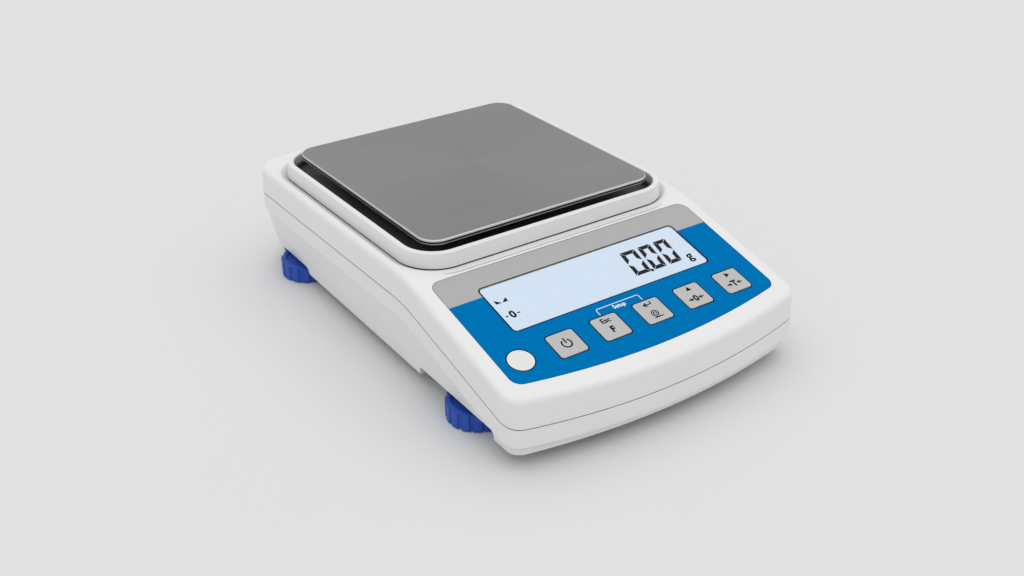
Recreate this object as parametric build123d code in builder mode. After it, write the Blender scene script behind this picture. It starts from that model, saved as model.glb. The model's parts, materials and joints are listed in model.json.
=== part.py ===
from build123d import *
from math import atan, cos, radians, sin, tan
import os

# Precision balance, millimetres. +X is the user's right, +Y the rear, +Z up.
# The origin is on the table, under the middle of the housing.

# Housing outline, seen from above
half_width = 103.4
rear_y = 156.5
front_y = -156.0
front_side_y = -144.5       # where the bowed front edge would meet the sides
front_corner_radius = 11.0
rear_corner_radius = 20.0

# Housing seen from the side: flat top behind, control panel sloping down to the front
top_z = 70.0
slope = 0.2573
slope_z_at_middle = 80.36   # height that the slope would have at Y = 0
bend_radius = 100.0
seam_drop = 17.0            # from the cover's top surface down to the seam
skirt_height = 11.4         # upright band of the casing under the seam
skirt_wall = 3.8
skirt_step = 1.2            # the lower walls stand back from the skirt
wall = 2.6
draft = 1.0                 # degrees
top_edge_radius = 3.5
rim_z = 8.0                 # lower rim of the casing
rim_front_half = 98.9       # the rim is a little wider at the front than at the rear
rim_rear_half = 93.9
floor_z = 14.6
floor_thickness = 2.4
seam_groove = 0.5
groove_depth = 1.0
tongue_height = 2.5

# Pan and draught ring
pan_y = 46.0
pan_side = 165.0
pan_top = 82.0
pan_depth = 3.2
pan_sheet = 0.8
pan_corner = 12.0
ring_y = 46.4
ring_half_width = 88.9      # half of the ring's inside, across
ring_half_length = 87.2     # and from front to rear
ring_corner = 19.4
ring_foot = 4.9             # the ring's thickness at the bottom
ring_top = 77.8
seat_z = 68.0               # floor of the shallow seat in the cover, under the ring and the tray
seat_margin = 5.6
seat_slant = 60.0           # degrees, of the seat's edge from the vertical
shadow_gap = 0.8
tray_margin = 0.3
tray_thickness = 1.2
stem_radius = 7.0
arm_reach = 84.0            # pan support, from its middle to the rubber buttons
button_radius = 5.5

# Control panel
foil_half_width = 93.0
foil_top_y = -52.1
foil_bottom_y = -143.8
foil_bottom_side_y = -135.0
foil_corner = 7.0
foil_thickness = 0.5
window_half_width = 70.1
window_top_y = -67.3
window_bottom_y = -102.6
window_thickness = 1.1
key_width = 17.6
key_length = 17.2
key_corner = 1.8
key_pitch = 30.1
first_key_x = -49.9
key_y = -121.8
key_gap = 0.35
key_travel = 0.35
key_rise = 0.25
level_x = -79.5
level_y = -121.4
level_radius = 7.4
board_depth = 9.0           # from the panel's surface down to the front circuit board
board_thickness = 1.6
switch_side = 6.0
switch_top = 4.6            # depth of the switch buttons under the panel's surface

# Feet
foot_x = 86.2
front_foot_y = -90.3
rear_foot_y = 115.2
knob_radius = 18.2
knob_bottom = 0.6
knob_top = 10.7
lobe_count = 16
lobe_notch = 1.5
pad_radius = 12.0
pad_thickness = 1.6
stud_radius = 4.0
stud_top = 34.0
insert_radius = 6.0

# Weighing mechanism
chassis_bottom = 20.0
chassis_top = 28.0
spacer_top = 31.0
beam_top = 53.0
beam_half_width = 15.0
beam_half_length = 65.0
arm_gap = 0.4               # room for the beam to bend under load
arm_thickness = 4.0
hub_top = 61.0

# Rear sockets and their circuit board
main_board_z = 22.0
serial_x = 48.0
power_x = 10.0
socket_z = 30.2

running_clearance = 0.05
far = 400.0                 # longer than the housing, for cuts that go right through

slope_angle = atan(slope)
bend_y = (top_z - slope_z_at_middle) / slope
crease_drop = seam_drop + skirt_height
seam_top = top_z - seam_drop
panel_y = (foil_top_y + foil_bottom_y) / 2
panel = Plane(
    origin=(0, panel_y, slope_z_at_middle + slope * panel_y),
    x_dir=(1, 0, 0),
    z_dir=(0, -sin(slope_angle), cos(slope_angle)),
)
cover_depth = wall * cos(slope_angle)   # the cover's thickness across the slope
rear_wall_y = rear_y - 1.5

foot_places = {
    "front_left": (-foot_x, front_foot_y),
    "front_right": (foot_x, front_foot_y),
    "rear_left": (-foot_x, rear_foot_y),
    "rear_right": (foot_x, rear_foot_y),
}
key_names = ["power", "function", "print", "zero", "tare"]
post_places = [(-86, 10), (86, 10), (-85, 143), (85, 143), (-45, -143), (45, -143)]
chassis_places = [(-50, -15), (50, -15), (-50, 100), (50, 100)]
main_board_places = [(-14, 123), (-14, 146), (70, 123), (70, 146)]
front_board_places = [(-86, 30), (86, 30), (-86, -2), (86, -2), (0, -10.5), (86, -31)]
cell_screw_places = [(0, 88), (0, 102)]
arm_screw_places = [(0, -11), (0, 3)]
stop_places = [(-21, -4), (21, -4)]


def up_slope(y):
    """Distance along the panel, from its middle, of a point that lies at Y in the plan"""
    return (y - panel_y) / cos(slope_angle)


def top_height(y):
    """Height of the cover's top surface at Y"""
    return min(top_z, slope_z_at_middle + slope * y)


def bowed_outline(front_side, rear_side, front, rear, front_corner, rear_corner, inset):
    """A plan outline with a bowed front edge and round corners"""
    with BuildSketch() as outline:
        with BuildLine():
            side_y = front + front_side_y - front_y
            bow = ThreePointArc((-front_side, side_y), (0, front), (front_side, side_y))
            Polyline(bow @ 1, (rear_side, rear), (-rear_side, rear), bow @ 0)
        make_face()
        fillet(outline.vertices().group_by(Axis.Y)[0], front_corner)
        fillet(outline.vertices().group_by(Axis.Y)[-1], rear_corner)
        if inset:
            offset(amount=-inset)
    return outline.sketch


def housing_prism(inset):
    """The housing's outline drawn upwards with its slight draft, before the top is cut"""
    outline = bowed_outline(half_width, half_width, front_y, rear_y, front_corner_radius, rear_corner_radius,
                            inset)
    with BuildPart() as prism:
        extrude(Plane.XY.offset(rim_z) * outline, amount=top_z + 5 - rim_z, taper=draft)
    return prism.part


def below_top(drop):
    """All that lies deeper than one drop under the cover's top surface"""
    before = front_y - 20
    behind = rear_y + 20
    with BuildSketch(Plane.YZ) as region:
        with BuildLine():
            Polyline(
                (before, -20),
                (before, slope_z_at_middle + slope * before - drop),
                (bend_y, top_z - drop),
                (behind, top_z - drop),
                (behind, -20),
                close=True,
            )
        make_face()
        bend = region.vertices().sort_by_distance((0, bend_y, top_z - drop))[0]
        fillet(bend, bend_radius)
    with BuildPart() as mass:
        extrude(region.sketch, amount=far / 2, both=True)
    return mass.part


def band(inset, depth, upper_drop, lower_drop):
    """An upright strip that follows the housing's outline, between two drops under its top"""
    with BuildPart() as strip:
        add(housing_prism(inset))
        add(housing_prism(inset + depth), mode=Mode.SUBTRACT)
        add(below_top(upper_drop), mode=Mode.INTERSECT)
        add(below_top(lower_drop), mode=Mode.SUBTRACT)
    return strip.part


def rim_outline(inset):
    """The casing's outline at its lower rim"""
    return bowed_outline(rim_front_half, rim_rear_half, front_y + 2.0, rear_wall_y, 8.0, 17.0, inset)


def lower_walls(inset):
    """The casing under the skirt, filled: it draws in towards the rim at the front and sides"""
    low = rim_outline(inset)
    high_side = half_width - tan(radians(draft)) * (seam_top - skirt_height - rim_z) - skirt_step
    high = bowed_outline(high_side, high_side, front_y + 1.5, rear_wall_y, 10.0, 19.0, inset)
    with BuildPart() as mass:
        loft([Plane.XY.offset(rim_z) * low, Plane.XY.offset(seam_top - skirt_height) * high], ruled=True)
    return mass.part


def ring_outline(height, grow):
    """The ring's inner outline, or one that runs at an equal distance outside it"""
    with BuildSketch(Plane.XY.offset(height)) as outline:
        with Locations((0, ring_y)):
            RectangleRounded(2 * (ring_half_width + grow), 2 * (ring_half_length + grow), ring_corner + grow)
    return outline.sketch


def rounded_square(height, half_side, corner):
    """A square with round corners about the middle of the pan"""
    with BuildSketch(Plane.XY.offset(height)) as square:
        with Locations((0, pan_y)):
            RectangleRounded(2 * half_side, 2 * half_side, corner)
    return square.sketch


def foil_outline(inset, depth):
    """The printed panel's outline, on the slope or below it"""
    low = up_slope(foil_bottom_y)
    low_side = up_slope(foil_bottom_side_y)
    high = up_slope(foil_top_y)
    with BuildSketch(panel.offset(-depth)) as outline:
        with BuildLine():
            bow = ThreePointArc((-foil_half_width, low_side), (0, low), (foil_half_width, low_side))
            Polyline(bow @ 1, (foil_half_width, high), (-foil_half_width, high), bow @ 0)
        make_face()
        fillet(outline.vertices(), foil_corner)
        if inset:
            offset(amount=-inset)
    return outline.sketch


def key_outline(index, grow, depth):
    """One key's square, on the slope or below it"""
    with BuildSketch(panel.offset(-depth)) as outline:
        with Locations((first_key_x + index * key_pitch, up_slope(key_y))):
            RectangleRounded(key_width + 2 * grow, key_length + 2 * grow, key_corner + grow)
    return outline.sketch


def window_outline(grow, depth):
    """The display window's outline, on the slope or below it"""
    high = up_slope(window_top_y)
    low = up_slope(window_bottom_y)
    with BuildSketch(panel.offset(-depth)) as outline:
        with Locations((0, (high + low) / 2)):
            RectangleRounded(2 * (window_half_width + grow), high - low + 2 * grow, 2.5 + grow)
    return outline.sketch


def discs(plane, places, radius):
    """Equal circles on one plane"""
    with BuildSketch(plane) as circles:
        with Locations(*places):
            Circle(radius)
    return circles.sketch


def rods(plane, places, radius, length):
    """Equal round posts that start on one plane"""
    with BuildPart() as posts:
        extrude(discs(plane, places, radius), amount=length)
    return posts.part


def screw_set(plane, places, head, shank, upright=1):
    """Equal socket screws: heads on the plane, shanks against its normal; upright -1 turns them over"""
    head_radius, head_height = head
    shank_radius, shank_length = shank
    with BuildPart() as screws:
        add(rods(plane, places, head_radius, upright * head_height))
        add(rods(plane.offset(upright * head_height), places, head_radius * 0.5, -upright * head_height / 2),
            mode=Mode.SUBTRACT)
        add(rods(plane, places, shank_radius, -upright * shank_length))
    return screws.part


def finish_piece(shape, name):
    """Name one piece and write its file"""
    shape.label = name
    export_step(shape, f"parts/{name}.step")


os.makedirs("parts", exist_ok=True)

# Bottom casing: the skirt under the seam, the walls that draw in below it, the floor and its posts
foot_boss_radius = 9.0
post_radius = 5.0
screw_seat_z = 19.5
arch_top = 13.6
rear_arch = (96.5, 134.0)
front_arch = (-124.0, -48.0)
with BuildPart() as bottom_casing:
    add(lower_walls(0))
    add(lower_walls(wall), mode=Mode.SUBTRACT)
    add(below_top(crease_drop), mode=Mode.INTERSECT)
    add(band(0, skirt_wall, seam_drop, crease_drop))
    add(band(wall + 0.1, skirt_wall - wall - 0.1, seam_drop - tongue_height, seam_drop + 1))
    add(band(-1, 1 + groove_depth, seam_drop, seam_drop + seam_groove), mode=Mode.SUBTRACT)
    extrude(Plane.XY.offset(floor_z) * rim_outline(1.0), amount=floor_thickness)
    with BuildSketch(Plane.YZ) as arches:
        for start, end in (rear_arch, front_arch):
            with Locations(((start + end) / 2, (arch_top + rim_z - 5) / 2)):
                Rectangle(end - start, arch_top - rim_z + 5)
        fillet(arches.vertices().group_by(Axis.Y)[-1], 3.0)
    extrude(arches.sketch, amount=far / 2, both=True, mode=Mode.SUBTRACT)
    add(rods(Plane.XY.offset(floor_z), list(foot_places.values()), foot_boss_radius, 14))
    for place in post_places:
        post_height = top_height(place[1]) - seam_drop - 1 - floor_z
        add(rods(Plane.XY.offset(floor_z), [place], post_radius, post_height))
    add(rods(Plane.XY.offset(floor_z), chassis_places, 6, chassis_bottom - floor_z))
    add(rods(Plane.XY.offset(floor_z), main_board_places, 4, main_board_z - floor_z))
    add(rods(Plane.XY, list(foot_places.values()), insert_radius, far), mode=Mode.SUBTRACT)
    add(rods(Plane.XY, post_places, 1.9, far), mode=Mode.SUBTRACT)
    add(rods(Plane.XY, post_places, 3.6, screw_seat_z), mode=Mode.SUBTRACT)
    add(rods(Plane.XY.offset(chassis_bottom), chassis_places, 2.0, -5.5), mode=Mode.SUBTRACT)
    add(rods(Plane.XY.offset(main_board_z), main_board_places, 1.4, -6), mode=Mode.SUBTRACT)
    with BuildSketch(Plane.XZ.offset(-far / 2)) as socket_holes:
        with Locations((serial_x, socket_z)):
            RectangleRounded(18.0, 9.6, 2.5)
        with Locations((power_x, socket_z)):
            Circle(4.5)
        with Locations((serial_x - 12.5, socket_z), (serial_x + 12.5, socket_z)):
            Circle(1.8)
    extrude(socket_holes.sketch, amount=far / 2 - rear_wall_y + 12, mode=Mode.SUBTRACT)
finish_piece(bottom_casing.part, "bottom_casing")

# Top cover: a drafted shell with a soft upper edge, the panel's recess and apertures, and screw posts
collar_radius = 16.0
collar_rise = 2.5
with BuildPart() as top_cover:
    add(housing_prism(0))
    add(below_top(0), mode=Mode.INTERSECT)
    add(below_top(seam_drop), mode=Mode.SUBTRACT)
    upper_faces = top_cover.faces().filter_by(lambda face: face.normal_at().Z > 0.9)
    shared = [edge for face in upper_faces for edge in face.edges()]
    rim_edges = [edge for edge in shared if sum(edge.is_same(other) for other in shared) == 1]
    fillet(rim_edges, top_edge_radius)
    add(housing_prism(wall).intersect(below_top(wall)), mode=Mode.SUBTRACT)
    extrude(ring_outline(seat_z - wall, seat_margin + 4), amount=wall)
    extrude(ring_outline(seat_z, seat_margin), amount=3, taper=-seat_slant, mode=Mode.SUBTRACT)
    for place in post_places:
        start = top_height(place[1]) - seam_drop - 1
        add(rods(Plane.XY.offset(start), [place], post_radius - 0.5, seam_drop - 1.5))
        add(rods(Plane.XY.offset(start), [place], 1.6, 12), mode=Mode.SUBTRACT)
    extrude(discs(panel.offset(-board_depth), front_board_places, 3.0), amount=board_depth - cover_depth + 1)
    extrude(discs(panel.offset(-board_depth), front_board_places, 1.25), amount=5.5, mode=Mode.SUBTRACT)
    add(rods(Plane.XY.offset(seat_z - wall), [(0, pan_y)], collar_radius, wall + collar_rise))
    add(rods(Plane.XY.offset(seat_z - wall - 5), [(0, pan_y)], collar_radius - 3, 20), mode=Mode.SUBTRACT)
    extrude(foil_outline(0, 0), amount=-foil_thickness, mode=Mode.SUBTRACT)
    extrude(window_outline(0.2, 0), amount=-window_thickness, mode=Mode.SUBTRACT)
    extrude(window_outline(-0.8, 0), amount=-6, mode=Mode.SUBTRACT)
    for index in range(len(key_names)):
        extrude(key_outline(index, key_gap, 0), amount=-6, mode=Mode.SUBTRACT)
    extrude(discs(panel, [(level_x, up_slope(level_y))], level_radius + 0.25), amount=-6, mode=Mode.SUBTRACT)
finish_piece(top_cover.part, "top_cover")

# Printed panel foil, with the openings for the window, the keys and the level
with BuildPart() as panel_foil:
    extrude(foil_outline(0.3, foil_thickness), amount=foil_thickness)
    extrude(window_outline(0.25, foil_thickness), amount=foil_thickness, mode=Mode.SUBTRACT)
    for index in range(len(key_names)):
        extrude(key_outline(index, key_gap, foil_thickness), amount=foil_thickness, mode=Mode.SUBTRACT)
    extrude(discs(panel, [(level_x, up_slope(level_y))], level_radius + 0.3), amount=-foil_thickness,
            mode=Mode.SUBTRACT)
finish_piece(panel_foil.part, "panel_foil")

# Keys: a square cap in its aperture, a flange that holds it under the cover, and a plunger
flange_depth = cover_depth + 0.1
plunger_end = switch_top - key_travel - 0.1
for index, key_name in enumerate(key_names):
    with BuildPart() as key:
        extrude(key_outline(index, 0, -key_rise), amount=-key_rise - flange_depth)
        fillet(key.faces().sort_by(Axis(panel.origin, panel.z_dir))[-1].edges(), 0.2)
        extrude(key_outline(index, 1.2, flange_depth), amount=-0.8)
        with BuildSketch(panel.offset(-flange_depth)) as plunger:
            with Locations((first_key_x + index * key_pitch, up_slope(key_y))):
                Circle(2.5)
        extrude(plunger.sketch, amount=flange_depth - plunger_end)
    finish_piece(key.part, f"key_{key_name}")

# Display: clear window, liquid crystal glass, light guide and the frame round them
with BuildPart() as display_window:
    extrude(window_outline(0, 0), amount=-window_thickness)
finish_piece(display_window.part, "display_window")

glass_depth = 3.3
with BuildPart() as lcd_glass:
    extrude(window_outline(-1.2, window_thickness), amount=window_thickness - glass_depth)
finish_piece(lcd_glass.part, "lcd_glass")

with BuildPart() as backlight:
    extrude(window_outline(-1.2, glass_depth), amount=glass_depth - board_depth)
finish_piece(backlight.part, "backlight")

with BuildPart() as lcd_frame:
    extrude(window_outline(1.2, flange_depth), amount=flange_depth - board_depth)
    extrude(window_outline(-1.2, flange_depth), amount=flange_depth - board_depth, mode=Mode.SUBTRACT)
finish_piece(lcd_frame.part, "lcd_frame")

# Bull's-eye level in its white cup
cup_depth = 8.5
with BuildPart() as level_vial:
    extrude(discs(panel, [(level_x, up_slope(level_y))], level_radius), amount=1 - cup_depth)
finish_piece(level_vial.part, "level_vial")

with BuildPart() as level_holder:
    extrude(discs(panel.offset(-cup_depth), [(level_x, up_slope(level_y))], level_radius + 2.3),
            amount=cup_depth - cover_depth)
    extrude(discs(panel.offset(1 - cup_depth), [(level_x, up_slope(level_y))], level_radius),
            amount=cup_depth, mode=Mode.SUBTRACT)
finish_piece(level_holder.part, "level_holder")

# Front circuit board under the panel, its switches and screws
with BuildPart() as front_board:
    with BuildSketch(panel.offset(-board_depth)) as board_outline:
        with Locations((0, 1)):
            RectangleRounded(180, 74, 2)
        with Locations(*front_board_places):
            Circle(1.5, mode=Mode.SUBTRACT)
    extrude(amount=-board_thickness)
finish_piece(front_board.part, "front_board")

with BuildPart() as tact_switches:
    for index in range(len(key_names)):
        with BuildSketch(panel.offset(-board_depth)) as switch_body:
            with Locations((first_key_x + index * key_pitch, up_slope(key_y))):
                Rectangle(switch_side, switch_side)
        extrude(switch_body.sketch, amount=board_depth - switch_top - 1)
        with BuildSketch(panel.offset(-board_depth)) as switch_button:
            with Locations((first_key_x + index * key_pitch, up_slope(key_y))):
                Circle(1.75)
        extrude(switch_button.sketch, amount=board_depth - switch_top)
finish_piece(tact_switches.part, "tact_switches")

front_board_screws = screw_set(panel.offset(-board_depth - board_thickness), front_board_places,
                               head=(2.5, 1.6), shank=(1.2, 6.0), upright=-1)
finish_piece(front_board_screws, "front_board_screws")

# Draught ring that stands loose round the pan
with BuildPart() as draft_ring:
    extrude(ring_outline(seat_z, ring_foot - shadow_gap), amount=shadow_gap)
    extrude(ring_outline(seat_z + shadow_gap, ring_foot), amount=ring_top - seat_z - shadow_gap, taper=8)
    extrude(ring_outline(seat_z, 0), amount=ring_top - seat_z, mode=Mode.SUBTRACT)
    fillet(draft_ring.faces().sort_by(Axis.Z)[-1].edges(), 1.0)
finish_piece(draft_ring.part, "draft_ring")

# Dark tray under the pan; its upturned rim centres the ring
tray_rim = 4.0
with BuildPart() as drip_tray:
    extrude(ring_outline(seat_z, -tray_margin), amount=tray_rim)
    extrude(ring_outline(seat_z + tray_thickness, -tray_margin - tray_thickness), amount=tray_rim,
            mode=Mode.SUBTRACT)
    add(rods(Plane.XY.offset(seat_z), [(0, pan_y)], collar_radius + 0.5, 5), mode=Mode.SUBTRACT)
finish_piece(drip_tray.part, "drip_tray")

# Weighing pan: sheet steel with a rolled edge, a set-in wall and a beaded lip
edge_roll = 1.2
bead_height = 0.9
with BuildPart() as weighing_pan:
    half = pan_side / 2
    pan_bottom = pan_top - pan_depth
    extrude(rounded_square(pan_bottom, half - 0.6, pan_corner - 0.6), amount=pan_depth)
    extrude(rounded_square(pan_top - edge_roll, half, pan_corner), amount=edge_roll)
    extrude(rounded_square(pan_bottom, half, pan_corner), amount=bead_height)
    fillet(weighing_pan.faces().sort_by(Axis.Z)[-1].edges(), 0.9)
    fillet(weighing_pan.faces().sort_by(Axis.Z)[0].edges(), 0.35)
    extrude(rounded_square(pan_bottom, half - 1.4, pan_corner - 1.4), amount=pan_depth - pan_sheet,
            mode=Mode.SUBTRACT)
finish_piece(weighing_pan.part, "weighing_pan")

# Pan support: a four-armed spider on the stem that goes down through the cover
spider_bottom = 74.5
spider_top = 78.5
spigot_radius = 5.0
spigot_length = 5.5
with BuildSketch(Plane.XY.offset(spider_bottom)) as spider:
    with Locations((0, pan_y)):
        Circle(16)
        with Locations(Rotation(0, 0, 45), Rotation(0, 0, -45)):
            SlotCenterToCenter(2 * arm_reach, 12)
        with PolarLocations(arm_reach, 4, start_angle=45) as button_spots:
            Circle(8)
button_places = [(spot.position.X, spot.position.Y) for spot in button_spots.locations]
with BuildPart() as pan_support:
    extrude(spider.sketch, amount=spider_top - spider_bottom)
    add(rods(Plane.XY.offset(hub_top), [(0, pan_y)], stem_radius, spider_bottom - hub_top))
    add(rods(Plane.XY.offset(hub_top), [(0, pan_y)], spigot_radius, -spigot_length))
    add(rods(Plane.XY.offset(spider_top), button_places, 2.5, -3), mode=Mode.SUBTRACT)
finish_piece(pan_support.part, "pan_support")

with BuildPart() as pan_buttons:
    add(rods(Plane.XY.offset(spider_top), button_places, button_radius, pan_top - pan_sheet - spider_top))
    add(rods(Plane.XY.offset(spider_top), button_places, 2.5, -3))
finish_piece(pan_buttons.part, "pan_buttons")

# Arm that carries the pan's stem above the free end of the beam
arm_bottom = beam_top + arm_gap
beam_front_y = pan_y - beam_half_length
with BuildPart() as cell_arm:
    with BuildSketch(Plane.XY.offset(arm_bottom)) as arm_plan:
        with Locations((0, (beam_front_y + pan_y) / 2)):
            Rectangle(26, pan_y - beam_front_y)
        with Locations((0, stop_places[0][1])):
            Rectangle(2 * stop_places[1][0] + 12, 12)
        fillet(arm_plan.vertices(), 2.5)
    extrude(amount=arm_thickness)
    add(rods(Plane.XY.offset(arm_bottom), [(0, pan_y)], 13, hub_top - arm_bottom))
    add(rods(Plane.XY.offset(hub_top), [(0, pan_y)], spigot_radius + running_clearance, -spigot_length),
        mode=Mode.SUBTRACT)
    add(rods(Plane.XY.offset(arm_bottom), arm_screw_places, 2.55, arm_thickness), mode=Mode.SUBTRACT)
finish_piece(cell_arm.part, "cell_arm")

arm_screws = screw_set(Plane.XY.offset(arm_bottom + arm_thickness), arm_screw_places, head=(4.2, 5.0),
                       shank=(2.5, 14.0))
finish_piece(arm_screws, "arm_screws")

# Load cell: a beam with a double-eyed slot that lets it bend
with BuildPart() as load_cell:
    with BuildSketch(Plane.YZ) as beam_side:
        with Locations((pan_y, (spacer_top + beam_top) / 2)):
            Rectangle(2 * beam_half_length, beam_top - spacer_top)
            SlotCenterToCenter(30, 6, mode=Mode.SUBTRACT)
        with Locations(*[(pan_y + side * 15, (spacer_top + beam_top) / 2) for side in (-1, 1)]):
            Circle(8.6, mode=Mode.SUBTRACT)
    extrude(beam_side.sketch, amount=beam_half_width, both=True)
    add(rods(Plane.XY.offset(beam_top), arm_screw_places, 2.9, -13), mode=Mode.SUBTRACT)
    add(rods(Plane.XY.offset(spacer_top), cell_screw_places, 2.55, 12.5), mode=Mode.SUBTRACT)
finish_piece(load_cell.part, "load_cell")

with BuildPart() as cell_spacer:
    with BuildSketch(Plane.XY.offset(chassis_top)) as spacer_plan:
        with Locations((0, pan_y + beam_half_length - 16)):
            Rectangle(2 * beam_half_width, 32)
        with Locations(*cell_screw_places):
            Circle(2.7, mode=Mode.SUBTRACT)
    extrude(amount=spacer_top - chassis_top)
finish_piece(cell_spacer.part, "cell_spacer")

# Cast chassis plate with pockets, screwed to the casing's floor
screw_sink = 5.2
with BuildPart() as chassis_plate:
    with BuildSketch(Plane.XY.offset(chassis_bottom)) as plate_plan:
        with Locations((0, 41)):
            RectangleRounded(120, 142, 10)
    extrude(amount=chassis_top - chassis_bottom)
    with BuildSketch(Plane.XY.offset(chassis_top)) as pockets:
        with Locations(*[(side * 37, centre) for side in (-1, 1) for centre in (15, 65)]):
            RectangleRounded(30, 40, 5)
    extrude(amount=-5.0, mode=Mode.SUBTRACT)
    add(rods(Plane.XY.offset(chassis_bottom), chassis_places, 2.3, far), mode=Mode.SUBTRACT)
    add(rods(Plane.XY.offset(chassis_bottom), cell_screw_places, 2.7, far), mode=Mode.SUBTRACT)
    add(rods(Plane.XY.offset(chassis_bottom), cell_screw_places, 4.6, screw_sink), mode=Mode.SUBTRACT)
    add(rods(Plane.XY.offset(chassis_top), stop_places, 2.5, -6), mode=Mode.SUBTRACT)
finish_piece(chassis_plate.part, "chassis_plate")

cell_screws = screw_set(Plane.XY.offset(chassis_bottom + screw_sink), cell_screw_places, head=(4.2, 5.0),
                        shank=(2.5, 17.5), upright=-1)
finish_piece(cell_screws, "cell_screws")

chassis_screws = screw_set(Plane.XY.offset(chassis_top), chassis_places, head=(3.8, 3.0), shank=(1.95, 13.0))
finish_piece(chassis_screws, "chassis_screws")

# Overload stops: pillars just under the arm's wings
with BuildPart() as overload_stops:
    stop_height = arm_bottom - arm_gap + 0.05 - chassis_top
    add(rods(Plane.XY.offset(chassis_top), stop_places, 4.0, stop_height))
    add(rods(Plane.XY.offset(chassis_top), stop_places, 2.5, -6))
finish_piece(overload_stops.part, "overload_stops")

# Main circuit board at the rear, with its sockets in the casing's rear wall
inner_rear_y = rear_wall_y - wall
board_top = main_board_z + board_thickness
with BuildPart() as main_board:
    with BuildSketch(Plane.XY.offset(main_board_z)) as board_plan:
        with Locations((28, 134.5)):
            Rectangle(96, 33)
        with Locations(*main_board_places):
            Circle(1.6, mode=Mode.SUBTRACT)
    extrude(amount=board_thickness)
    with BuildSketch(Plane.XY.offset(board_top)) as chips:
        with Locations((28, 127)):
            Rectangle(14, 14)
        with Locations((50, 127)):
            Rectangle(10, 6)
        with Locations((4, 125)):
            Rectangle(8, 5)
    extrude(amount=2.2)
finish_piece(main_board.part, "main_board")

main_board_screws = screw_set(Plane.XY.offset(board_top), main_board_places, head=(2.8, 2.2),
                              shank=(1.35, 7.0))
finish_piece(main_board_screws, "main_board_screws")

shell_depth = 8.0
with BuildPart() as serial_socket:
    with Locations((serial_x, inner_rear_y - 1 - shell_depth / 2, (board_top + socket_z + 5) / 2)):
        Box(19, shell_depth, socket_z + 5 - board_top)
    with Locations((serial_x, inner_rear_y - 0.5, socket_z)):
        Box(31, 1.0, 12.4)
    with BuildSketch(Plane.XZ.offset(-rear_wall_y)) as shell_face:
        with Locations((serial_x, socket_z)):
            Trapezoid(17.0, 8.6, 80, rotation=180)
        fillet(shell_face.vertices(), 2.2)
    extrude(amount=3.5)
    extrude(offset(shell_face.sketch, -0.6, mode=Mode.PRIVATE), amount=shell_depth, mode=Mode.SUBTRACT)
    with BuildSketch(Plane.XZ.offset(-inner_rear_y)) as nut_holes:
        with Locations((serial_x - 12.5, socket_z), (serial_x + 12.5, socket_z)):
            Circle(1.4)
    extrude(nut_holes.sketch, amount=2, mode=Mode.SUBTRACT)
finish_piece(serial_socket.part, "serial_socket")

jack_length = 14.0
with BuildPart() as power_socket:
    with Locations((power_x, inner_rear_y - jack_length / 2, (board_top + socket_z + 4.5) / 2)):
        Box(9, jack_length, socket_z + 4.5 - board_top)
    with BuildSketch(Plane.XZ.offset(-rear_wall_y)) as nozzle:
        with Locations((power_x, socket_z)):
            Circle(4.2)
    extrude(nozzle.sketch, amount=wall)
    with BuildSketch(Plane.XZ.offset(-rear_wall_y)) as socket_bore:
        with Locations((power_x, socket_z)):
            Circle(3.1)
            Circle(1.0, mode=Mode.SUBTRACT)
    extrude(socket_bore.sketch, amount=10, mode=Mode.SUBTRACT)
finish_piece(power_socket.part, "power_socket")

# Screws that close the housing from below
screw_sets = []
for place in post_places:
    reach = top_height(place[1]) - seam_drop + 9 - screw_seat_z
    screw_sets.append(screw_set(Plane.XY.offset(screw_seat_z), [place], head=(3.3, 3.0), shank=(1.55, reach),
                                upright=-1))
casing_screws = Compound(children=screw_sets)
finish_piece(casing_screws, "casing_screws")

# Feet: brass insert in the casing, threaded stud and lobed knob that turn together, rubber pad
insert_top = 27.0
flange_bottom = 13.5
with BuildPart() as foot_inserts:
    places = list(foot_places.values())
    add(rods(Plane.XY.offset(floor_z), places, insert_radius, insert_top - floor_z))
    add(rods(Plane.XY.offset(flange_bottom), places, insert_radius + 0.8, floor_z - flange_bottom))
    add(rods(Plane.XY, places, stud_radius + running_clearance, far), mode=Mode.SUBTRACT)
finish_piece(foot_inserts.part, "foot_inserts")

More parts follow.
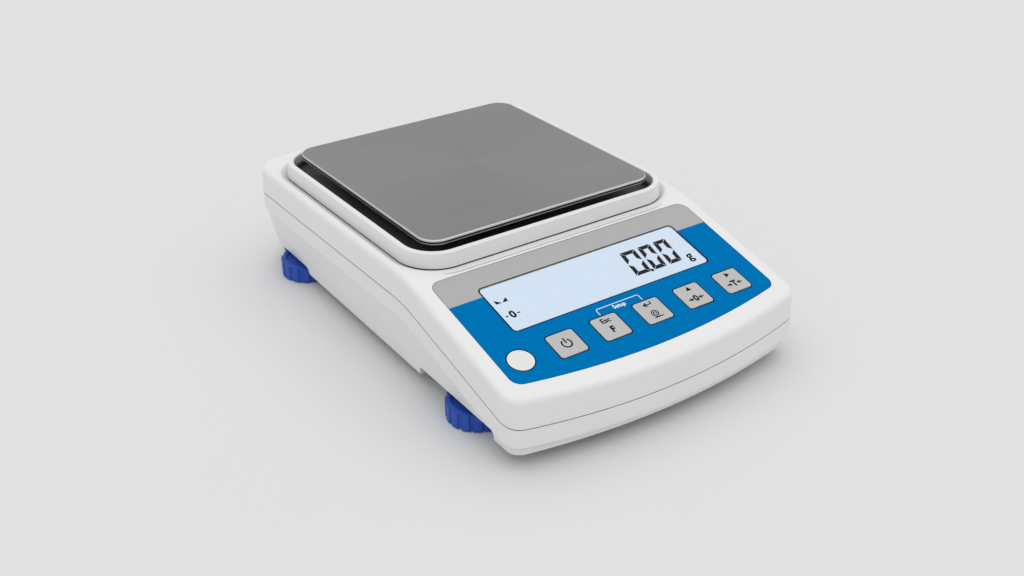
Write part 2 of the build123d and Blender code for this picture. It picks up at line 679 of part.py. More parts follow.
stud_bottom = 4.0
knob_hub_radius = 6.4       # its top meets the insert's flange when the foot is screwed right in
for corner, place in foot_places.items():
    with BuildPart() as foot_knob:
        with BuildSketch(Plane.XY.offset(knob_bottom)) as knob_plan:
            with Locations(place):
                Circle(knob_radius)
                with PolarLocations(knob_radius + 0.4, lobe_count):
                    Circle(lobe_notch, mode=Mode.SUBTRACT)
        extrude(amount=knob_top - knob_bottom)
        add(rods(Plane.XY.offset(knob_top - 1), [place], knob_hub_radius, flange_bottom - knob_top + 1))
        with BuildSketch(Plane.XY.offset(knob_top)) as dish:
            with Locations(place):
                Circle(knob_radius - 3)
                Circle(stud_radius + 3, mode=Mode.SUBTRACT)
        extrude(amount=-1.0, mode=Mode.SUBTRACT)
        add(rods(Plane.XY.offset(stud_bottom), [place], stud_radius, far), mode=Mode.SUBTRACT)
        add(rods(Plane.XY, [place], 3 + running_clearance, stud_bottom), mode=Mode.SUBTRACT)
        add(rods(Plane.XY, [place], pad_radius + 0.3, pad_thickness), mode=Mode.SUBTRACT)
    finish_piece(foot_knob.part, f"foot_knob_{corner}")

    with BuildPart() as foot_stud:
        add(rods(Plane.XY.offset(stud_bottom), [place], stud_radius, stud_top - stud_bottom))
        chamfer(foot_stud.faces().sort_by(Axis.Z)[-1].edges(), 0.8)
    finish_piece(foot_stud.part, f"foot_stud_{corner}")

    with BuildPart() as foot_pad:
        add(rods(Plane.XY, [place], pad_radius, pad_thickness))
        chamfer(foot_pad.faces().sort_by(Axis.Z)[0].edges(), 0.4)
        add(rods(Plane.XY.offset(pad_thickness), [place], 3.0, stud_bottom - pad_thickness - 0.1))
    finish_piece(foot_pad.part, f"foot_pad_{corner}")
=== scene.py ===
import json
import math

import bmesh
import bpy
from mathutils import Matrix, Vector


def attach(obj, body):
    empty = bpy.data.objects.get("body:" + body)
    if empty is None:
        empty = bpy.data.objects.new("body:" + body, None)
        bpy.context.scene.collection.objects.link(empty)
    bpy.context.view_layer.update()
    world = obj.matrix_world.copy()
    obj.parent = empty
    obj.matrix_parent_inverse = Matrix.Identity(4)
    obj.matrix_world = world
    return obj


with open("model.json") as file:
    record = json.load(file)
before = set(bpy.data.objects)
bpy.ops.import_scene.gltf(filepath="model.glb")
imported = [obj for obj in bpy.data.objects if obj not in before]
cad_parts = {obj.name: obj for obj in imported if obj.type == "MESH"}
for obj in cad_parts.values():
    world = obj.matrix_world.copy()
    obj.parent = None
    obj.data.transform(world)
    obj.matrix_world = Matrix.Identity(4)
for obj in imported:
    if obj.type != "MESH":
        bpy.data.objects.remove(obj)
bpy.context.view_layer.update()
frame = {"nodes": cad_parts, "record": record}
nodes = frame["nodes"]
mm = 0.001
print("frame loaded")

# The sloping control panel: its slope, and its height where y is zero, in millimetres
panel = {"slope": 0.2573, "heightAtZero": 80.36}
panelAngle = math.atan(panel["slope"])


def alongSlope(start, end):
    # distance up the slope from one place to another, both given by their y in the plan
    return (end - start) / math.cos(panelAngle)


def onPanel(x, y, lift=0.0, turn=0.0):
    # turns and moves a flat piece from the XY plane to a place on the slope
    height = panel["heightAtZero"] + panel["slope"] * y
    place = Matrix.Translation((x * mm, y * mm, height * mm))
    tilt = Matrix.Rotation(panelAngle, 4, "X")
    raised = Matrix.Translation((0, 0, lift * mm))
    return place @ tilt @ raised @ Matrix.Rotation(math.radians(turn), 4, "Z")


def deselectAll():
    if bpy.context.mode != "OBJECT":
        bpy.ops.object.mode_set(mode="OBJECT")
    bpy.ops.object.select_all(action="DESELECT")


def pick(*objs):
    deselectAll()
    for obj in objs:
        obj.select_set(True)
    bpy.context.view_layer.objects.active = objs[0]


def settle(obj, matrix=None):
    # the place goes into the mesh, and the object itself stays at the origin
    pick(obj)
    bpy.ops.object.transform_apply(location=True, rotation=True, scale=True)
    if matrix is not None:
        obj.matrix_world = matrix
        bpy.ops.object.transform_apply(location=True, rotation=True, scale=True)
    deselectAll()
    return obj


def edit(obj, kind="FACE"):
    pick(obj)
    bpy.ops.object.mode_set(mode="EDIT")
    bpy.ops.mesh.select_mode(type=kind)
    bpy.ops.mesh.select_all(action="DESELECT")


def choose(obj, parts, test):
    # selects the faces, edges or vertices that pass a test
    cage = bmesh.from_edit_mesh(obj.data)
    for item in getattr(cage, parts):
        item.select_set(bool(test(item)))
    cage.select_flush_mode()
    bmesh.update_edit_mesh(obj.data)


def endEdit(outward=True):
    if outward:
        bpy.ops.mesh.select_all(action="SELECT")
        bpy.ops.mesh.normals_make_consistent(inside=False)
    bpy.ops.object.mode_set(mode="OBJECT")


def nameIt(name):
    obj = bpy.context.active_object
    obj.name = name
    obj.data.name = name
    return obj


def joinAll(name, objs):
    pick(*objs)
    bpy.ops.object.join()
    obj = nameIt(name)
    deselectAll()
    return obj


def roundedPlate(name, width, length, corner, thickness, line=0.0):
    # a flat plate with round corners; with a line width, only its border is kept
    deselectAll()
    bpy.ops.mesh.primitive_plane_add(size=1, scale=(1, 1, 1))
    obj = nameIt(name)
    obj.scale = (width * mm, length * mm, 1)
    settle(obj)
    edit(obj, "VERT")
    bpy.ops.mesh.select_all(action="SELECT")
    bpy.ops.mesh.bevel(offset=corner * mm, segments=8, affect="VERTICES")
    bpy.ops.mesh.select_mode(type="FACE")
    bpy.ops.mesh.select_all(action="SELECT")
    if line:
        bpy.ops.mesh.inset(thickness=line * mm, depth=0)
        bpy.ops.mesh.delete(type="FACE")
        bpy.ops.mesh.select_all(action="SELECT")
    bpy.ops.mesh.extrude_region_move(TRANSFORM_OT_translate={"value": (0, 0, thickness * mm)})
    endEdit()
    return obj


def roundPlate(name, radius, thickness, line=0.0, sides=64):
    # the same for a disc or a ring
    deselectAll()
    bpy.ops.mesh.primitive_circle_add(vertices=sides, radius=radius * mm, fill_type="NGON")
    obj = nameIt(name)
    edit(obj)
    bpy.ops.mesh.select_all(action="SELECT")
    if line:
        bpy.ops.mesh.inset(thickness=line * mm, depth=0)
        bpy.ops.mesh.delete(type="FACE")
        bpy.ops.mesh.select_all(action="SELECT")
    bpy.ops.mesh.extrude_region_move(TRANSFORM_OT_translate={"value": (0, 0, thickness * mm)})
    endEdit()
    return obj


def bar(name, width, length, thickness, x=0.0, y=0.0, turn=0.0, taper=0.0):
    # a flat bar; a taper shortens the side that faces down, which gives it mitred ends
    deselectAll()
    bpy.ops.mesh.primitive_cube_add(size=1)
    obj = nameIt(name)
    obj.scale = (width * mm, length * mm, thickness * mm)
    obj.location = (0, 0, thickness * mm / 2)
    settle(obj)
    if taper:
        edit(obj, "VERT")
        choose(obj, "verts", lambda v: v.co.y < 0)
        bpy.ops.transform.resize(value=(1 - 2 * taper / width, 1, 1), center_override=(0, 0, 0))
        endEdit(outward=False)
    place = Matrix.Translation((x * mm, y * mm, 0)) @ Matrix.Rotation(math.radians(turn), 4, "Z")
    return settle(obj, place)


def arrowHead(name, width, height, thickness, x=0.0, y=0.0, turn=0.0, lean=0.0):
    # a triangle that points up the slope until it is turned; its tip may lean to one side
    deselectAll()
    bpy.ops.mesh.primitive_circle_add(vertices=3, radius=1, fill_type="NGON")
    obj = nameIt(name)
    obj.scale = (width * mm / math.sqrt(3), height * mm / 1.5, 1)
    settle(obj)
    for vertex in obj.data.vertices:
        if vertex.co.y > 0:
            vertex.co.x += lean * mm
    edit(obj)
    bpy.ops.mesh.select_all(action="SELECT")
    bpy.ops.mesh.extrude_region_move(TRANSFORM_OT_translate={"value": (0, 0, thickness * mm)})
    endEdit()
    place = Matrix.Translation((x * mm, y * mm, 0)) @ Matrix.Rotation(math.radians(turn), 4, "Z")
    return settle(obj, place)


def stroke(name, points, width, thickness):
    # a drawn line of even width through points in millimetres, flattened to the print's thickness
    line = bpy.data.curves.new(name, "CURVE")
    line.dimensions = "3D"
    line.bevel_depth = width * mm / 2
    line.bevel_resolution = 2
    line.use_fill_caps = True
    path = line.splines.new("POLY")
    path.points.add(len(points) - 1)
    for point, (x, y) in zip(path.points, points):
        point.co = (x * mm, y * mm, 0, 1)
    obj = bpy.data.objects.new(name, line)
    bpy.context.scene.collection.objects.link(obj)
    pick(obj)
    bpy.ops.object.convert(target="MESH")
    obj = nameIt(name)
    obj.scale = (1, 1, thickness / width)
    return settle(obj)


def lettering(name, words, size, thickness, x=0.0, y=0.0, bold=0.1):
    # generic words and numerals, centred on their place
    deselectAll()
    bpy.ops.object.text_add()
    obj = bpy.context.active_object
    obj.data.body = words
    obj.data.size = size * mm
    obj.data.align_x = "CENTER"
    obj.data.align_y = "CENTER"
    obj.data.extrude = thickness * mm / 2
    obj.data.offset = bold * mm
    obj.data.resolution_u = 4
    bpy.ops.object.convert(target="MESH")
    obj = nameIt(name)
    return settle(obj, Matrix.Translation((x * mm, y * mm, thickness * mm / 2)))


def arc(radius, start, end, steps, x=0.0, y=0.0):
    turns = [math.radians(start + (end - start) * i / steps) for i in range(steps + 1)]
    return [(x + radius * math.cos(a), y + radius * math.sin(a)) for a in turns]


# Materials. Each starts from one shader with a soft pattern in Object coordinates
def startMaterial(name, rough, metallic=0.0, alpha=1.0):
    mat = bpy.data.materials.new(name)
    mat.use_nodes = True
    tree = mat.node_tree
    shader = tree.nodes["Principled BSDF"]
    shader.inputs["Roughness"].default_value = rough
    shader.inputs["Metallic"].default_value = metallic
    shader.inputs["Alpha"].default_value = alpha
    coords = tree.nodes.new("ShaderNodeTexCoord")
    return mat, tree, shader, coords


def addNoise(tree, coords, scale, detail=3.0, stretch=(1, 1, 1)):
    mapping = tree.nodes.new("ShaderNodeMapping")
    mapping.inputs["Scale"].default_value = stretch
    noise = tree.nodes.new("ShaderNodeTexNoise")
    noise.inputs["Scale"].default_value = scale
    noise.inputs["Detail"].default_value = detail
    tree.links.new(coords.outputs["Object"], mapping.inputs["Vector"])
    tree.links.new(mapping.outputs["Vector"], noise.inputs["Vector"])
    return noise.outputs["Fac"]


def addRange(tree, value, low, high, fromLow=0.3, fromHigh=0.7):
    node = tree.nodes.new("ShaderNodeMapRange")
    node.inputs["From Min"].default_value = fromLow
    node.inputs["From Max"].default_value = fromHigh
    node.inputs["To Min"].default_value = low
    node.inputs["To Max"].default_value = high
    tree.links.new(value, node.inputs["Value"])
    return node.outputs["Result"]


def addMix(tree, factor, first, second):
    # a colour between two; each of them is a colour or another node's output
    node = tree.nodes.new("ShaderNodeMix")
    node.data_type = "RGBA"
    tree.links.new(factor, node.inputs["Factor"])
    for socket, colour in ((node.inputs["A"], first), (node.inputs["B"], second)):
        if isinstance(colour, tuple):
            socket.default_value = (*colour, 1)
        else:
            tree.links.new(colour, socket)
    return node.outputs["Result"]


def addBump(tree, shader, height, strength, distance):
    bump = tree.nodes.new("ShaderNodeBump")
    bump.inputs["Strength"].default_value = strength
    bump.inputs["Distance"].default_value = distance
    tree.links.new(height, bump.inputs["Height"])
    tree.links.new(bump.outputs["Normal"], shader.inputs["Normal"])


def shade(colour, factor):
    return tuple(min(1.0, channel * factor) for channel in colour)


def addPaintedCreviceShade(tree, tone, reach, darkestShade, closed, opened):
    # paints shade into the colour: grooves and corners narrower than the reach are darkened as occlusion
    # would shade them; closed and opened bound the change
    corner = tree.nodes.new("ShaderNodeAmbientOcclusion")
    corner.samples = 8
    corner.inputs["Distance"].default_value = reach * mm
    shadeAmount = addRange(tree, corner.outputs["AO"], darkestShade, 1, closed, opened)
    node = tree.nodes.new("ShaderNodeMix")
    node.data_type = "RGBA"
    node.blend_type = "MULTIPLY"
    node.inputs["Factor"].default_value = 1.0
    tree.links.new(tone, node.inputs["A"])
    tree.links.new(shadeAmount, node.inputs["B"])
    return node.outputs["Result"]


def textured(name, colour, rough, metallic=0.0, spread=0.03, grain=900, bump=0.05, stretch=(1, 1, 1),
             sheen=0.5, creviceShade=()):
    # an even finish: faint colour drift, a fine grain in the gloss and a fine bump, with painted shade in
    # crevices where values for it are given
    mat, tree, shader, coords = startMaterial(name, rough, metallic)
    drift = addRange(tree, addNoise(tree, coords, 35, 2), 0, 1)
    tone = addMix(tree, drift, shade(colour, 1 - spread), shade(colour, 1 + spread))
    # painted shade: each set of values darkens the colour in crevices
    for creviceShadeValues in creviceShade:
        tone = addPaintedCreviceShade(tree, tone, *creviceShadeValues)
    tree.links.new(tone, shader.inputs["Base Color"])
    shader.inputs["Specular IOR Level"].default_value = sheen
    fine = addNoise(tree, coords, grain, 2, stretch)
    tree.links.new(addRange(tree, fine, rough * 0.9, min(1, rough * 1.1)), shader.inputs["Roughness"])
    addBump(tree, shader, fine, bump, 0.0001)
    return mat


finishes = {
    "housing": {"colour": (0.82, 0.82, 0.82), "rough": 0.48, "spread": 0.006, "grain": 1400, "bump": 0.06,
                # painted shade: dark lines in the narrow seams and grooves, and a soft darkening in wider
                # recesses and under the ring
                "creviceShade": ((1.8, 0.03, 0.3, 0.68), (14.0, 0.62, 0.0, 0.9))},
    "keyCap": {"colour": (0.50, 0.495, 0.49), "rough": 0.5, "spread": 0.02, "grain": 2500, "bump": 0.08},
    "innerPlastic": {"colour": (0.7, 0.7, 0.68), "rough": 0.5},
    "levelDisc": {"colour": (0.78, 0.78, 0.76), "rough": 0.35, "spread": 0.01},
    "circuitBoard": {"colour": (0.02, 0.16, 0.07), "rough": 0.35, "spread": 0.1},
    "switchBlack": {"colour": (0.03, 0.03, 0.03), "rough": 0.4},
    "zincScrew": {"colour": (0.62, 0.62, 0.6), "rough": 0.3, "metallic": 1.0, "grain": 600},
    "darkTray": {"colour": (0.07, 0.07, 0.07), "rough": 0.42, "spread": 0.1, "grain": 700},
    "castAlloy": {"colour": (0.5, 0.5, 0.51), "rough": 0.45, "metallic": 1.0, "grain": 500, "bump": 0.2},
    "milledAlloy": {"colour": (0.68, 0.68, 0.7), "rough": 0.3, "metallic": 1.0, "stretch": (1, 12, 1)},
    "blackRubber": {"colour": (0.02, 0.02, 0.021), "rough": 0.75, "spread": 0.15, "bump": 0.2},
    "socketShell": {"colour": (0.6, 0.6, 0.58), "rough": 0.28, "metallic": 1.0},
    "socketPlastic": {"colour": (0.018, 0.018, 0.02), "rough": 0.38},
    "brassInsert": {"colour": (0.72, 0.55, 0.25), "rough": 0.3, "metallic": 1.0, "stretch": (1, 1, 8)},
    # this black serves for print, and also as painted shade for the gap lines round the window, keys and
    # level
    "printAndGapShadeBlack": {"colour": (0.004, 0.0045, 0.005), "rough": 0.6, "spread": 0.1, "sheen": 0.05},
    "printWhite": {"colour": (0.85, 0.87, 0.88), "rough": 0.5, "spread": 0.01},
    "lcdSegment": {"colour": (0.003, 0.003, 0.004), "rough": 0.6, "spread": 0.1, "sheen": 0.02},
    "lightGuide": {"colour": (0.8, 0.84, 0.88), "rough": 0.3},
    "knobBlue": {"colour": (0.022, 0.085, 0.46), "rough": 0.42, "spread": 0.06, "grain": 1200, "bump": 0.08,
                 "sheen": 0.3},
}
mats = {name: textured(name, **values) for name, values in finishes.items()}

foilValues = {"blue": (0.0003, 0.172, 0.465), "grey": (0.445, 0.45, 0.443), "splitY": -73.2, "blend": 0.05,
              "low": 0.985, "high": 1.015, "rough": 0.45, "sheen": 0.0, "grain": 2600}


def makeFoil():
    # two printed colours that meet on a straight line across the panel
    mat, tree, shader, coords = startMaterial("printedFoil", foilValues["rough"])
    split = tree.nodes.new("ShaderNodeSeparateXYZ")
    tree.links.new(coords.outputs["Object"], split.inputs["Vector"])
    edge = foilValues["splitY"] * mm
    blend = foilValues["blend"] * mm
    band = addRange(tree, split.outputs["Y"], 0, 1, edge - blend, edge + blend)
    drift = addRange(tree, addNoise(tree, coords, 60, 2), 0, 1)
    blue = addMix(tree, drift, shade(foilValues["blue"], foilValues["low"]),
                  shade(foilValues["blue"], foilValues["high"]))
    tree.links.new(addMix(tree, band, blue, foilValues["grey"]), shader.inputs["Base Color"])
    shader.inputs["Specular IOR Level"].default_value = foilValues["sheen"]
    addBump(tree, shader, addNoise(tree, coords, foilValues["grain"], 2), 0.06, 0.00008)
    return mat


displayValues = {"low": (0.61, 0.725, 0.87), "high": (0.63, 0.745, 0.89), "rough": 0.35, "grain": 1500,
                 "paintedGlow": 0.03}


def makeDisplay():
    # the pale ground of the liquid crystal display, brightened by a faint painted glow, with its faint cell
    # pattern
    mat, tree, shader, coords = startMaterial("displayGround", displayValues["rough"])
    cells = addNoise(tree, coords, displayValues["grain"], 1)
    tone = addMix(tree, addRange(tree, cells, 0, 1), displayValues["low"], displayValues["high"])
    tree.links.new(tone, shader.inputs["Base Color"])
    # painted glow: the display's colour is also given out as faint light
    tree.links.new(tone, shader.inputs["Emission Color"])
    shader.inputs["Emission Strength"].default_value = displayValues["paintedGlow"]
    return mat


windowValues = {"low": (0.86, 0.9, 0.94), "high": (0.9, 0.93, 0.96), "rough": 0.06, "alpha": 0.025,
                "bending": 1.45}


def makeWindow():
    # clear polished sheet: nearly all of it lets the display through
    mat, tree, shader, coords = startMaterial("clearWindow", windowValues["rough"],
                                              alpha=windowValues["alpha"])
    shader.inputs["IOR"].default_value = windowValues["bending"]
    faint = addRange(tree, addNoise(tree, coords, 40, 1), 0, 1)
    tint = addMix(tree, faint, windowValues["low"], windowValues["high"])
    tree.links.new(tint, shader.inputs["Base Color"])
    return mat


# the edge colour is a painted highlight and the wall colour a painted shade
panValues = {
    "ground": (0.285, 0.286, 0.288), "low": 0.93, "high": 1.07, "edge": (0.62, 0.62, 0.62), "flatLow": 0.93,
    "flatHigh": 0.995, "rough": 0.38, "roughSpread": 0.05, "grainLength": 90, "wallLow": 79.7,
    "wallHigh": 80.8, "wall": (0.03, 0.03, 0.03), "blend": 0.05,
}


def makeSteel():
    # brushed top with long fine strokes; a painted highlight makes the rolled edge and bead brighter, and
    # painted shade makes the set-in wall between them dark
    rough = panValues["rough"]
    mat, tree, shader, coords = startMaterial("brushedSteel", rough, 1.0)
    strokes = addNoise(tree, coords, 12, 4, (1, panValues["grainLength"], 1))
    drift = addRange(tree, strokes, 0, 1)
    top = addMix(tree, drift, shade(panValues["ground"], panValues["low"]),
                 shade(panValues["ground"], panValues["high"]))
    # painted highlight: faces turned away from straight up take the brighter edge colour
    geometry = tree.nodes.new("ShaderNodeNewGeometry")
    facing = tree.nodes.new("ShaderNodeSeparateXYZ")
    tree.links.new(geometry.outputs["Normal"], facing.inputs["Vector"])
    flat = addRange(tree, facing.outputs["Z"], 0, 1, panValues["flatLow"], panValues["flatHigh"])
    body = addMix(tree, flat, panValues["edge"], top)
    # painted shade: the set-in wall band between wallLow and wallHigh is painted near black
    place = tree.nodes.new("ShaderNodeSeparateXYZ")
    tree.links.new(coords.outputs["Object"], place.inputs["Vector"])
    low = panValues["wallLow"] * mm
    high = panValues["wallHigh"] * mm
    blend = panValues["blend"] * mm
    above = addRange(tree, place.outputs["Z"], 0, 1, low - blend, low + blend)
    below = addRange(tree, place.outputs["Z"], 1, 0, high - blend, high + blend)
    inside = tree.nodes.new("ShaderNodeMath")
    inside.operation = "MULTIPLY"
    tree.links.new(above, inside.inputs[0])
    tree.links.new(below, inside.inputs[1])
    tone = addMix(tree, inside.outputs["Value"], body, panValues["wall"])
    tree.links.new(tone, shader.inputs["Base Color"])
    gloss = addRange(tree, strokes, rough - panValues["roughSpread"], rough + panValues["roughSpread"])
    tree.links.new(gloss, shader.inputs["Roughness"])
    shader.inputs["Anisotropic"].default_value = 0.5
    addBump(tree, shader, strokes, 0.08, 0.00005)
    return mat


mats["printedFoil"] = makeFoil()
mats["displayGround"] = makeDisplay()
mats["clearWindow"] = makeWindow()
mats["brushedSteel"] = makeSteel()


def paint(obj, finish):
    obj.data.materials.clear()
    obj.data.materials.append(mats[finish])


# The finish of every solid that keeps its CAD shape, by the material slot that the record gives it
slotFinish = {
    "housing": "housing", "foil": "printedFoil", "key": "keyCap", "window": "clearWindow",
    "lcd": "displayGround", "light_guide": "lightGuide", "inner_plastic": "innerPlastic",
    "level": "levelDisc", "circuit_board": "circuitBoard", "switch": "switchBlack", "screw": "zincScrew",
    "tray": "darkTray", "pan": "brushedSteel", "cast_metal": "castAlloy", "rubber": "blackRubber",
    "beam": "milledAlloy", "socket_shell": "socketShell", "socket_body": "socketPlastic",
    "insert": "brassInsert", "knob": "knobBlue",
}
smoothAngle = math.radians(32)
for part in frame["record"]["subparts"]:
    node = nodes[part["node"]]
    paint(node, slotFinish[part["material_slot"]])
    pick(node)
    bpy.ops.object.shade_smooth_by_angle(angle=smoothAngle)
deselectAll()
print("finishes on the CAD pieces")


def finishThinPiece(obj, body, finish):
    paint(obj, finish)
    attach(obj, body)


# The display's pale ground, close under the window
ground = {"depth": 0.34, "thickness": 0.02, "width": 139.6, "top": -67.4, "bottom": -102.5, "corner": 2.4}
groundLength = alongSlope(ground["bottom"], ground["top"])
displaySheet = roundedPlate("display_sheet", ground["width"], groundLength, ground["corner"],
                            ground["thickness"])
settle(displaySheet, onPanel(0, (ground["top"] + ground["bottom"]) / 2, -ground["depth"]))
finishThinPiece(displaySheet, "base", "displayGround")

# Liquid crystal figures on it: three slanted seven-bar noughts and a point
figures = {
    "depth": 0.31, "thickness": 0.04, "left": [22.6, 36.0, 48.0], "width": [11.0, 9.3, 9.3], "top": -75.3,
    "bottom": -95.0, "barWidth": 2.8, "mitre": 0.93, "gap": 0.3, "slant": 7.4, "pointX": 33.1,
    "pointY": -94.6, "pointSide": 2.0,
}


def makeNought(name, width, height):
    # six mitred bars: the middle bar of the seven is off
    barWidth = figures["barWidth"]
    half = height / 2
    wide = width - 2 * figures["gap"]
    tall = half - 2 * figures["gap"]
    edge = barWidth / 2
    layout = [
        (wide, 0, half - edge, 0), (wide, 0, edge - half, 180),
        (tall, width / 2 - edge, half / 2, -90), (tall, width / 2 - edge, -half / 2, -90),
        (tall, edge - width / 2, half / 2, 90), (tall, edge - width / 2, -half / 2, 90),
    ]
    bars = []
    for index, (size, x, y, turn) in enumerate(layout):
        bars.append(bar(f"{name}Bar{index}", size, barWidth, figures["thickness"], x, y, turn,
                        barWidth * figures["mitre"]))
    nought = joinAll(name, bars)
    for vertex in nought.data.vertices:
        vertex.co.x += math.tan(math.radians(figures["slant"])) * vertex.co.y
    return nought


height = alongSlope(figures["bottom"], figures["top"])
middleY = (figures["top"] + figures["bottom"]) / 2
shapes = []
for index, (left, width) in enumerate(zip(figures["left"], figures["width"])):
    nought = makeNought(f"nought{index}", width, height)
    shapes.append(settle(nought, onPanel(left + width / 2, middleY, -figures["depth"])))
point = bar("figurePoint", figures["pointSide"], figures["pointSide"], figures["thickness"])
shapes.append(settle(point, onPanel(figures["pointX"], figures["pointY"], -figures["depth"])))
displayFigures = joinAll("display_figures", shapes)
finishThinPiece(displayFigures, "base", "lcdSegment")

# The unit and the two small marks at the left of the display
marks = {
    "unitX": 62.3, "unitY": -93.9, "unitSize": 9.6, "unitBold": 0.22, "zeroX": -63.2, "zeroY": -91.1,
    "zeroSize": 7.2, "zeroBold": 0.3, "dashX": 3.9, "dashLength": 1.8, "dashWidth": 0.8, "stableX": -63.2,
    "stableY": -80.0, "wedgeX": 2.1, "wedgeWidth": 3.6, "wedgeHeight": 3.2, "wedgeLean": 1.8,
}
thin = figures["thickness"]
shapes = []
unit = lettering("unitLetter", "g", marks["unitSize"], thin, bold=marks["unitBold"])
shapes.append(settle(unit, onPanel(marks["unitX"], marks["unitY"], -figures["depth"])))
zeroMark = [lettering("zeroSign", "0", marks["zeroSize"], thin, bold=marks["zeroBold"])]
for side in (-1, 1):
    zeroMark.append(bar("zeroDash", marks["dashLength"], marks["dashWidth"], thin, side * marks["dashX"], 0))
zeroMark = joinAll("zeroMark", zeroMark)
shapes.append(settle(zeroMark, onPanel(marks["zeroX"], marks["zeroY"], -figures["depth"])))
wedges = []
for name, side in (("stableRight", 1), ("stableLeft", -1)):
    wedges.append(arrowHead(name, marks["wedgeWidth"], marks["wedgeHeight"], thin,
                            side * marks["wedgeX"], lean=side * marks["wedgeLean"]))
stableMark = joinAll("stableMark", wedges)
shapes.append(settle(stableMark, onPanel(marks["stableX"], marks["stableY"], -figures["depth"])))
displayMarks = joinAll("display_marks", shapes)
finishThinPiece(displayMarks, "base", "lcdSegment")
print("display marks")

# Thin dark lines round the window, the keys and the level: painted shade that stands for the gaps around
# them
outlines = {
    "thickness": 0.04, "sink": 0.01, "keyLine": 0.45, "windowLine": 0.6, "keyCount": 5, "keyWidth": 17.6,
    "keyLength": 17.2, "keyCorner": 1.8, "keyGap": 0.35, "firstKeyX": -49.9, "keyPitch": 30.1,
    "keyY": -121.8, "windowHalf": 70.1, "windowTop": -67.3, "windowBottom": -102.6, "windowCorner": 2.5,
    "windowGap": 0.25, "levelX": -79.5, "levelY": -121.4, "levelRadius": 7.4, "levelGap": 0.3,
}
grow = outlines["keyGap"] + outlines["keyLine"]
shapes = []
for index in range(outlines["keyCount"]):
    ring = roundedPlate(f"keyLine{index}", outlines["keyWidth"] + 2 * grow, outlines["keyLength"] + 2 * grow,
                        outlines["keyCorner"] + grow, outlines["thickness"], outlines["keyLine"])
    x = outlines["firstKeyX"] + index * outlines["keyPitch"]
    shapes.append(settle(ring, onPanel(x, outlines["keyY"], -outlines["sink"])))
ring = roundPlate("levelLine", outlines["levelRadius"] + outlines["levelGap"] + outlines["keyLine"],
                  outlines["thickness"], outlines["keyLine"])
shapes.append(settle(ring, onPanel(outlines["levelX"], outlines["levelY"], -outlines["sink"])))
windowLength = alongSlope(outlines["windowBottom"], outlines["windowTop"])
growWindow = outlines["windowGap"] + outlines["windowLine"]
ring = roundedPlate("windowLine", 2 * (outlines["windowHalf"] + growWindow), windowLength + 2 * growWindow,
                    outlines["windowCorner"] + growWindow, outlines["thickness"], outlines["windowLine"])
windowMiddle = (outlines["windowTop"] + outlines["windowBottom"]) / 2
shapes.append(settle(ring, onPanel(0, windowMiddle, -outlines["sink"])))
gapShadeOutlines = joinAll("gap_shade_outlines", shapes)
# painted shade: these dark lines stand for the shadowed gaps
finishThinPiece(gapShadeOutlines, "base", "printAndGapShadeBlack")

# White bracket that joins two keys, with its word under it
bracket = {"left": -19.4, "right": 10.7, "foot": -112.1, "top": -107.7, "line": 0.55, "corner": 1.2,
           "wordX": -4.6, "wordY": -110.2, "wordSize": 3.9}
foot = alongSlope(bracket["top"], bracket["foot"])
corner = bracket["corner"]
bracketPoints = [(bracket["left"], foot)]
bracketPoints += arc(corner, 180, 90, 6, bracket["left"] + corner, -corner)
bracketPoints += arc(corner, 90, 0, 6, bracket["right"] - corner, -corner)
bracketPoints.append((bracket["right"], foot))
line = stroke("bracketLine", bracketPoints, bracket["line"], outlines["thickness"])
settle(line, onPanel(0, bracket["top"]))
word = lettering("bracketWord", "Setup", bracket["wordSize"], outlines["thickness"])
settle(word, onPanel(bracket["wordX"], bracket["wordY"], -outlines["sink"]))
setupBracket = joinAll("setup_bracket", [line, word])
finishThinPiece(setupBracket, "base", "printWhite")
print("panel print")

# Legends on the key caps, each riding on its own key
legend = {
    "thickness": 0.04, "lift": 0.24, "upperY": 5.2, "powerLine": 1.2, "powerRadius": 2.9, "powerStart": 122,
    "powerEnd": 418, "stemLow": 0.2, "stemHigh": 4.2, "wordSize": 4.9, "wordY": 5.0, "wordBold": 0.14,
    "letterSize": 6.2, "letterY": -2.3, "letterBold": 0.28, "signSize": 6.3, "signBold": 0.26, "zeroY": -2.8,
    "zeroHeadX": 0.6, "tareY": -2.6, "tareHeadX": 0.3, "headWidth": 3.7, "headHeight": 3.2,
    "sideWidth": 2.7, "sideHeight": 2.2, "sideX": 3.2, "tailLength": 1.5, "tailWidth": 0.75, "tailX": 4.8,
    "hookLine": 1.1, "hookRight": 2.6, "hookLeft": -0.6, "hookRise": 2.0, "enterX": -1.6, "enterWidth": 3.4,
    "enterHeight": 2.6, "rollLine": 0.85, "rollY": -2.3, "rollStart": 0.5, "rollGrowth": 2.5,
    "rollSteps": 36, "rollTurn": -60, "rollStep": 20, "sheetY": -5.4, "sheetLeft": -2.6, "sheetRight": 3.6,
}
ink = legend["thickness"]


def powerLegend():
    opening = arc(legend["powerRadius"], legend["powerStart"], legend["powerEnd"], 28)
    ringArc = stroke("powerArc", opening, legend["powerLine"], ink)
    stem = stroke("powerStem", [(0, legend["stemLow"]), (0, legend["stemHigh"])], legend["powerLine"], ink)
    return [ringArc, stem]


def functionLegend():
    word = lettering("escapeWord", "Esc", legend["wordSize"], ink, 0, legend["wordY"], legend["wordBold"])
    letter = lettering("functionLetter", "F", legend["letterSize"], ink, 0, legend["letterY"],
                       legend["letterBold"])
    return [word, letter]


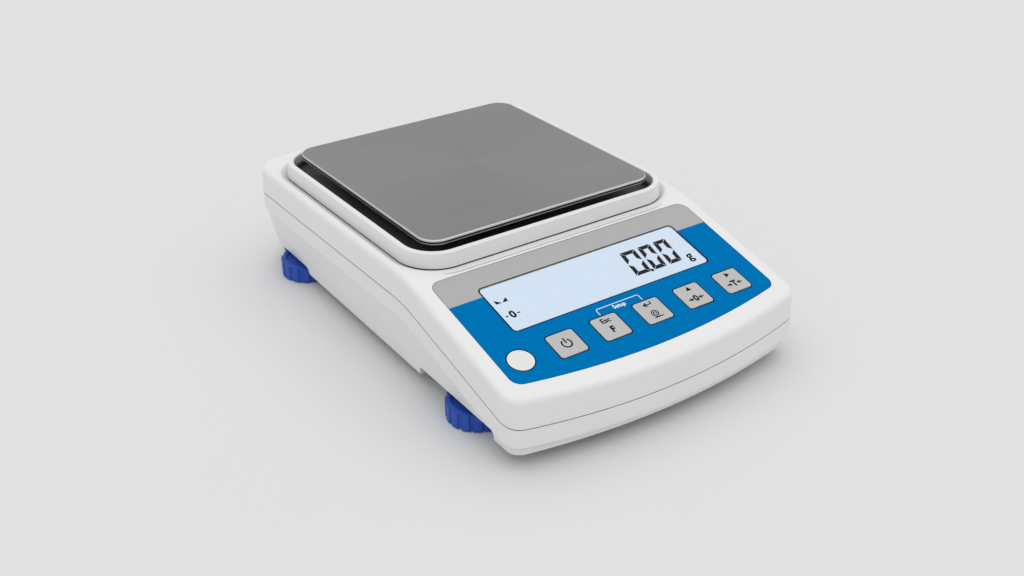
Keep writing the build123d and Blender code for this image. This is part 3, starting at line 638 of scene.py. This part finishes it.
def printLegend():
    # a return arrow over a paper roll whose sheet runs out to the right
    level = legend["upperY"]
    right = legend["hookRight"]
    path = [(right, level + legend["hookRise"]), (right, level), (legend["hookLeft"], level)]
    hook = stroke("enterLine", path, legend["hookLine"], ink)
    head = arrowHead("enterHead", legend["enterWidth"], legend["enterHeight"], ink, legend["enterX"], level,
                     90)
    roll = []
    for step in range(legend["rollSteps"] + 1):
        turn = math.radians(legend["rollTurn"] + step * legend["rollStep"])
        reach = legend["rollStart"] + legend["rollGrowth"] * step / legend["rollSteps"]
        roll.append((reach * math.cos(turn), legend["rollY"] + reach * math.sin(turn)))
    spiral = stroke("rollSpiral", roll, legend["rollLine"], ink)
    ends = [(legend["sheetLeft"], legend["sheetY"]), (legend["sheetRight"], legend["sheetY"])]
    sheet = stroke("rollSheet", ends, legend["rollLine"], ink)
    return [hook, head, spiral, sheet]


def upperHead(name, x, turn):
    return arrowHead(name, legend["headWidth"], legend["headHeight"], ink, x, legend["upperY"], turn)


def signBetweenArrows(name, sign, y):
    # a sign that two short arrows point at from both sides
    pieces = [lettering(name, sign, legend["signSize"], ink, 0, y, legend["signBold"])]
    for side in (-1, 1):
        pieces.append(arrowHead("sideHead", legend["sideWidth"], legend["sideHeight"], ink,
                                side * legend["sideX"], y, 90 * side))
        pieces.append(bar("sideTail", legend["tailLength"], legend["tailWidth"], ink,
                          side * legend["tailX"], y))
    return pieces


def zeroLegend():
    head = upperHead("upHead", legend["zeroHeadX"], 0)
    return [head, *signBetweenArrows("noughtSign", "0", legend["zeroY"])]


def tareLegend():
    head = upperHead("rightHead", legend["tareHeadX"], -90)
    return [head, *signBetweenArrows("tareLetter", "T", legend["tareY"])]


keyLegends = {"power": powerLegend, "function": functionLegend, "print": printLegend,
              "zero": zeroLegend, "tare": tareLegend}
for index, (keyName, makeLegend) in enumerate(keyLegends.items()):
    drawn = joinAll(f"legend_{keyName}", makeLegend())
    x = outlines["firstKeyX"] + index * outlines["keyPitch"]
    settle(drawn, onPanel(x, outlines["keyY"], legend["lift"]))
    finishThinPiece(drawn, f"key_{keyName}", "printAndGapShadeBlack")
print("key legends")

# Floor, light and camera
stageValues = {
    "floorSide": 12.0, "floorDrop": 0.1, "floorColour": (0.75, 0.753, 0.753), "skyLight": 0.70,
    "skySeen": (0.735, 0.738, 0.738), "sunPower": 0.95, "sunSpread": 100, "sunLean": 3,
}
deselectAll()
bpy.ops.mesh.primitive_plane_add(size=stageValues["floorSide"],
                                 location=(0, 0, -stageValues["floorDrop"] * mm))
floor = nameIt("studioFloor")
settle(floor)
floorMat, floorTree, floorShader, floorCoords = startMaterial("paleFloor", 0.9)
floorTone = addRange(floorTree, addNoise(floorTree, floorCoords, 3, 2), 0, 1)
floorTree.links.new(addMix(floorTree, floorTone, shade(stageValues["floorColour"], 0.995),
                           shade(stageValues["floorColour"], 1.005)), floorShader.inputs["Base Color"])
floorShader.inputs["Specular IOR Level"].default_value = 0.1
floor.data.materials.append(floorMat)

world = bpy.data.worlds.new("paleStudio")
world.use_nodes = True
bpy.context.scene.world = world
worldTree = world.node_tree
sky = worldTree.nodes["Background"]
sky.inputs["Strength"].default_value = 1.0
rays = worldTree.nodes.new("ShaderNodeLightPath")
seen = addMix(worldTree, rays.outputs["Is Camera Ray"], (stageValues["skyLight"],) * 3,
              stageValues["skySeen"])
worldTree.links.new(seen, sky.inputs["Color"])

# One broad soft light from above, tilted a little to the object's right
lamp = bpy.data.lights.new("topLight", "SUN")
lamp.energy = stageValues["sunPower"]
lamp.angle = math.radians(stageValues["sunSpread"])
lampObject = bpy.data.objects.new("topLight", lamp)
bpy.context.scene.collection.objects.link(lampObject)
lampObject.rotation_euler = (0, math.radians(stageValues["sunLean"]), 0)

cameraValues = {"place": (-0.3838, -0.5463, 0.3825), "heading": 35.10, "pitch": 29.07, "lens": 41.96}
camera = bpy.data.cameras.new("photoCamera")
camera.lens = cameraValues["lens"]
camera.sensor_width = 36
cameraObject = bpy.data.objects.new("photoCamera", camera)
bpy.context.scene.collection.objects.link(cameraObject)
cameraObject.location = cameraValues["place"]
heading = math.radians(cameraValues["heading"])
pitch = math.radians(cameraValues["pitch"])
aim = Vector((math.cos(pitch) * math.sin(heading), math.cos(pitch) * math.cos(heading), -math.sin(pitch)))
cameraObject.rotation_euler = aim.to_track_quat("-Z", "Y").to_euler()
bpy.context.scene.camera = cameraObject
bpy.context.scene.view_settings.view_transform = "Standard"
print("stage set")
